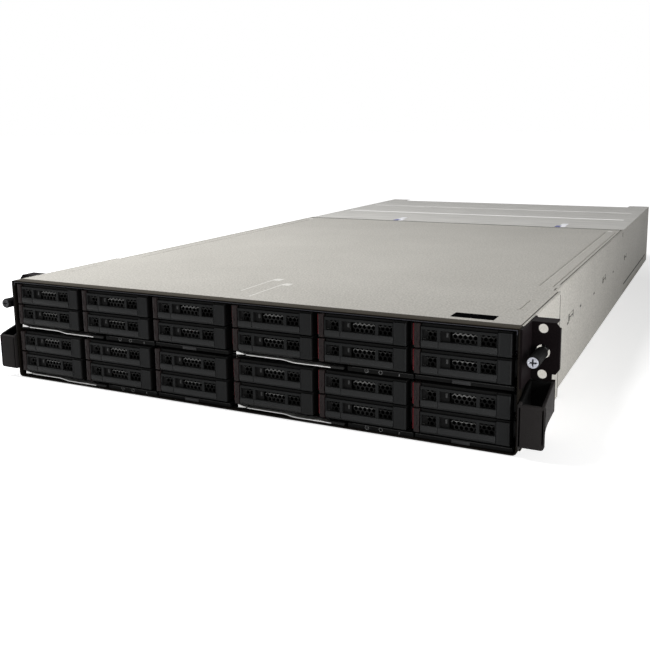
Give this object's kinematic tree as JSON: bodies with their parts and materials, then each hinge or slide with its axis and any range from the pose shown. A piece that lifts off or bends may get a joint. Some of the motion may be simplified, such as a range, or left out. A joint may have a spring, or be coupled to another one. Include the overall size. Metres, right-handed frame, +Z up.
{
  "type": "multi-node server chassis",
  "caption": "Two-unit rack enclosure with pull-out compute nodes, hot-swap drives with windowed fronts, release levers, rack ears, fans, power supplies and rear modules.",
  "frame": {"origin": "bottom centre of the bounding box", "axes": "+X to the right seen from the front, +Y to the back, +Z up"},
  "size_m": [0.488, 0.8914, 0.087],
  "materials": {
    "zinc_steel": "zinc-plated sheet steel, satin",
    "black_paint": "black powder coat",
    "black_plastic": "matt moulded plastic",
    "screw_steel": "black sleeve with a bright face",
    "board": "green circuit board with its parts",
    "lever_steel": "bright steel",
    "button_plastic": "dark moulded plastic",
    "drive_body": "dark carrier round a cast disk body"
  },
  "bodies": {
    "enclosure": {"enclosure_tub": "zinc_steel", "top_cover": "zinc_steel", "front_strip": "black_paint", "bay_dividers": "zinc_steel", "midplane": "board", "rack_ears": "black_paint", "ear_handles": "black_plastic", "fan_frames": "black_plastic"},
    "fan_cover": {"fan_cover": "zinc_steel"},
    "rack_screw_left": {"rack_screw_left": "screw_steel"},
    "rack_screw_right": {"rack_screw_right": "screw_steel"},
    "fan_rotor_1": {"fan_rotor_1": "black_plastic"},
    "fan_rotor_2": {"fan_rotor_2": "black_plastic"},
    "fan_rotor_3": {"fan_rotor_3": "black_plastic"},
    "fan_rotor_4": {"fan_rotor_4": "black_plastic"},
    "fan_rotor_5": {"fan_rotor_5": "black_plastic"},
    "power_supply_1": {"power_supply_1": "zinc_steel"},
    "power_supply_2": {"power_supply_2": "zinc_steel"},
    "pcie_shuttle": {"pcie_shuttle": "zinc_steel"},
    "management_module": {"management_module": "zinc_steel"},
    "node_1": {"node_1_tray": "zinc_steel", "node_1_electronics": "board"},
    "node_1_lever": {"node_1_lever": "lever_steel"},
    "node_1_power_button": {"node_1_power_button": "button_plastic"},
    "node_1_drive_1": {"node_1_drive_1": "drive_body"},
    "node_1_drive_2": {"node_1_drive_2": "drive_body"},
    "node_1_drive_3": {"node_1_drive_3": "drive_body"},
    "node_1_drive_4": {"node_1_drive_4": "drive_body"},
    "node_1_drive_5": {"node_1_drive_5": "drive_body"},
    "node_1_drive_6": {"node_1_drive_6": "drive_body"},
    "node_2": {"node_2_tray": "zinc_steel", "node_2_electronics": "board"},
    "node_2_lever": {"node_2_lever": "lever_steel"},
    "node_2_power_button": {"node_2_power_button": "button_plastic"},
    "node_2_drive_1": {"node_2_drive_1": "drive_body"},
    "node_2_drive_2": {"node_2_drive_2": "drive_body"},
    "node_2_drive_3": {"node_2_drive_3": "drive_body"},
    "node_2_drive_4": {"node_2_drive_4": "drive_body"},
    "node_2_drive_5": {"node_2_drive_5": "drive_body"},
    "node_2_drive_6": {"node_2_drive_6": "drive_body"},
    "node_3": {"node_3_tray": "zinc_steel", "node_3_electronics": "board"},
    "node_3_lever": {"node_3_lever": "lever_steel"},
    "node_3_power_button": {"node_3_power_button": "button_plastic"},
    "node_3_drive_1": {"node_3_drive_1": "drive_body"},
    "node_3_drive_2": {"node_3_drive_2": "drive_body"},
    "node_3_drive_3": {"node_3_drive_3": "drive_body"},
    "node_3_drive_4": {"node_3_drive_4": "drive_body"},
    "node_3_drive_5": {"node_3_drive_5": "drive_body"},
    "node_3_drive_6": {"node_3_drive_6": "drive_body"},
    "node_4": {"node_4_tray": "zinc_steel", "node_4_electronics": "board"},
    "node_4_lever": {"node_4_lever": "lever_steel"},
    "node_4_power_button": {"node_4_power_button": "button_plastic"},
    "node_4_drive_1": {"node_4_drive_1": "drive_body"},
    "node_4_drive_2": {"node_4_drive_2": "drive_body"},
    "node_4_drive_3": {"node_4_drive_3": "drive_body"},
    "node_4_drive_4": {"node_4_drive_4": "drive_body"},
    "node_4_drive_5": {"node_4_drive_5": "drive_body"},
    "node_4_drive_6": {"node_4_drive_6": "drive_body"}
  },
  "joints": [
    {"name": "fan_cover_slide", "type": "slide", "parent": "enclosure", "child": "fan_cover", "axis": [0, 1, 0], "range_m": [0, 0.33]},
    {"name": "rack_screw_left_turn", "type": "hinge", "parent": "enclosure", "child": "rack_screw_left", "pos_m": [-0.23255, -0.44325, 0.06573], "axis": [0, 1, 0], "continuous": true},
    {"name": "rack_screw_right_turn", "type": "hinge", "parent": "enclosure", "child": "rack_screw_right", "pos_m": [0.23255, -0.44325, 0.06573], "axis": [0, 1, 0], "continuous": true},
    {"name": "fan_rotor_1_spin", "type": "hinge", "parent": "enclosure", "child": "fan_rotor_1", "pos_m": [-0.17553, 0.16175, 0.031], "axis": [0, 1, 0], "continuous": true},
    {"name": "fan_rotor_2_spin", "type": "hinge", "parent": "enclosure", "child": "fan_rotor_2", "pos_m": [-0.09277, 0.16175, 0.041], "axis": [0, 1, 0], "continuous": true},
    {"name": "fan_rotor_3_spin", "type": "hinge", "parent": "enclosure", "child": "fan_rotor_3", "pos_m": [0, 0.16175, 0.041], "axis": [0, 1, 0], "continuous": true},
    {"name": "fan_rotor_4_spin", "type": "hinge", "parent": "enclosure", "child": "fan_rotor_4", "pos_m": [0.09277, 0.16175, 0.041], "axis": [0, 1, 0], "continuous": true},
    {"name": "fan_rotor_5_spin", "type": "hinge", "parent": "enclosure", "child": "fan_rotor_5", "pos_m": [0.17553, 0.16175, 0.031], "axis": [0, 1, 0], "continuous": true},
    {"name": "power_supply_1_slide", "type": "slide", "parent": "enclosure", "child": "power_supply_1", "axis": [0, 1, 0], "range_m": [0, 0.19]},
    {"name": "power_supply_2_slide", "type": "slide", "parent": "enclosure", "child": "power_supply_2", "axis": [0, 1, 0], "range_m": [0, 0.19]},
    {"name": "pcie_shuttle_slide", "type": "slide", "parent": "enclosure", "child": "pcie_shuttle", "axis": [0, 1, 0], "range_m": [0, 0.19]},
    {"name": "management_module_slide", "type": "slide", "parent": "enclosure", "child": "management_module", "axis": [0, 1, 0], "range_m": [0, 0.18]},
    {"name": "node_1_slide", "type": "slide", "parent": "enclosure", "child": "node_1", "axis": [0, -1, 0], "range_m": [0, 0.545]},
    {"name": "node_1_lever_swing", "type": "hinge", "parent": "node_1", "child": "node_1_lever", "pos_m": [-0.2141, -0.43425, 0.0459], "axis": [0, 0, -1], "range_deg": [0, 75]},
    {"name": "node_1_power_press", "type": "slide", "parent": "node_1", "child": "node_1_power_button", "axis": [0, 1, 0], "range_m": [0, 0.0006], "stiffness_N_per_m": 400},
    {"name": "node_1_drive_1_slide", "type": "slide", "parent": "node_1", "child": "node_1_drive_1", "axis": [0, -1, 0], "range_m": [0, 0.118]},
    {"name": "node_1_drive_2_slide", "type": "slide", "parent": "node_1", "child": "node_1_drive_2", "axis": [0, -1, 0], "range_m": [0, 0.118]},
    {"name": "node_1_drive_3_slide", "type": "slide", "parent": "node_1", "child": "node_1_drive_3", "axis": [0, -1, 0], "range_m": [0, 0.118]},
    {"name": "node_1_drive_4_slide", "type": "slide", "parent": "node_1", "child": "node_1_drive_4", "axis": [0, -1, 0], "range_m": [0, 0.118]},
    {"name": "node_1_drive_5_slide", "type": "slide", "parent": "node_1", "child": "node_1_drive_5", "axis": [0, -1, 0], "range_m": [0, 0.118]},
    {"name": "node_1_drive_6_slide", "type": "slide", "parent": "node_1", "child": "node_1_drive_6", "axis": [0, -1, 0], "range_m": [0, 0.118]},
    {"name": "node_2_slide", "type": "slide", "parent": "enclosure", "child": "node_2", "axis": [0, -1, 0], "range_m": [0, 0.545]},
    {"name": "node_2_lever_swing", "type": "hinge", "parent": "node_2", "child": "node_2_lever", "pos_m": [0.0083, -0.43425, 0.0459], "axis": [0, 0, -1], "range_deg": [0, 75]},
    {"name": "node_2_power_press", "type": "slide", "parent": "node_2", "child": "node_2_power_button", "axis": [0, 1, 0], "range_m": [0, 0.0006], "stiffness_N_per_m": 400},
    {"name": "node_2_drive_1_slide", "type": "slide", "parent": "node_2", "child": "node_2_drive_1", "axis": [0, -1, 0], "range_m": [0, 0.118]},
    {"name": "node_2_drive_2_slide", "type": "slide", "parent": "node_2", "child": "node_2_drive_2", "axis": [0, -1, 0], "range_m": [0, 0.118]},
    {"name": "node_2_drive_3_slide", "type": "slide", "parent": "node_2", "child": "node_2_drive_3", "axis": [0, -1, 0], "range_m": [0, 0.118]},
    {"name": "node_2_drive_4_slide", "type": "slide", "parent": "node_2", "child": "node_2_drive_4", "axis": [0, -1, 0], "range_m": [0, 0.118]},
    {"name": "node_2_drive_5_slide", "type": "slide", "parent": "node_2", "child": "node_2_drive_5", "axis": [0, -1, 0], "range_m": [0, 0.118]},
    {"name": "node_2_drive_6_slide", "type": "slide", "parent": "node_2", "child": "node_2_drive_6", "axis": [0, -1, 0], "range_m": [0, 0.118]},
    {"name": "node_3_slide", "type": "slide", "parent": "enclosure", "child": "node_3", "axis": [0, -1, 0], "range_m": [0, 0.545]},
    {"name": "node_3_lever_swing", "type": "hinge", "parent": "node_3", "child": "node_3_lever", "pos_m": [-0.2141, -0.43425, 0.0035], "axis": [0, 0, -1], "range_deg": [0, 75]},
    {"name": "node_3_power_press", "type": "slide", "parent": "node_3", "child": "node_3_power_button", "axis": [0, 1, 0], "range_m": [0, 0.0006], "stiffness_N_per_m": 400},
    {"name": "node_3_drive_1_slide", "type": "slide", "parent": "node_3", "child": "node_3_drive_1", "axis": [0, -1, 0], "range_m": [0, 0.118]},
    {"name": "node_3_drive_2_slide", "type": "slide", "parent": "node_3", "child": "node_3_drive_2", "axis": [0, -1, 0], "range_m": [0, 0.118]},
    {"name": "node_3_drive_3_slide", "type": "slide", "parent": "node_3", "child": "node_3_drive_3", "axis": [0, -1, 0], "range_m": [0, 0.118]},
    {"name": "node_3_drive_4_slide", "type": "slide", "parent": "node_3", "child": "node_3_drive_4", "axis": [0, -1, 0], "range_m": [0, 0.118]},
    {"name": "node_3_drive_5_slide", "type": "slide", "parent": "node_3", "child": "node_3_drive_5", "axis": [0, -1, 0], "range_m": [0, 0.118]},
    {"name": "node_3_drive_6_slide", "type": "slide", "parent": "node_3", "child": "node_3_drive_6", "axis": [0, -1, 0], "range_m": [0, 0.118]},
    {"name": "node_4_slide", "type": "slide", "parent": "enclosure", "child": "node_4", "axis": [0, -1, 0], "range_m": [0, 0.545]},
    {"name": "node_4_lever_swing", "type": "hinge", "parent": "node_4", "child": "node_4_lever", "pos_m": [0.0083, -0.43425, 0.0035], "axis": [0, 0, -1], "range_deg": [0, 75]},
    {"name": "node_4_power_press", "type": "slide", "parent": "node_4", "child": "node_4_power_button", "axis": [0, 1, 0], "range_m": [0, 0.0006], "stiffness_N_per_m": 400},
    {"name": "node_4_drive_1_slide", "type": "slide", "parent": "node_4", "child": "node_4_drive_1", "axis": [0, -1, 0], "range_m": [0, 0.118]},
    {"name": "node_4_drive_2_slide", "type": "slide", "parent": "node_4", "child": "node_4_drive_2", "axis": [0, -1, 0], "range_m": [0, 0.118]},
    {"name": "node_4_drive_3_slide", "type": "slide", "parent": "node_4", "child": "node_4_drive_3", "axis": [0, -1, 0], "range_m": [0, 0.118]},
    {"name": "node_4_drive_4_slide", "type": "slide", "parent": "node_4", "child": "node_4_drive_4", "axis": [0, -1, 0], "range_m": [0, 0.118]},
    {"name": "node_4_drive_5_slide", "type": "slide", "parent": "node_4", "child": "node_4_drive_5", "axis": [0, -1, 0], "range_m": [0, 0.118]},
    {"name": "node_4_drive_6_slide", "type": "slide", "parent": "node_4", "child": "node_4_drive_6", "axis": [0, -1, 0], "range_m": [0, 0.118]}
  ]
}
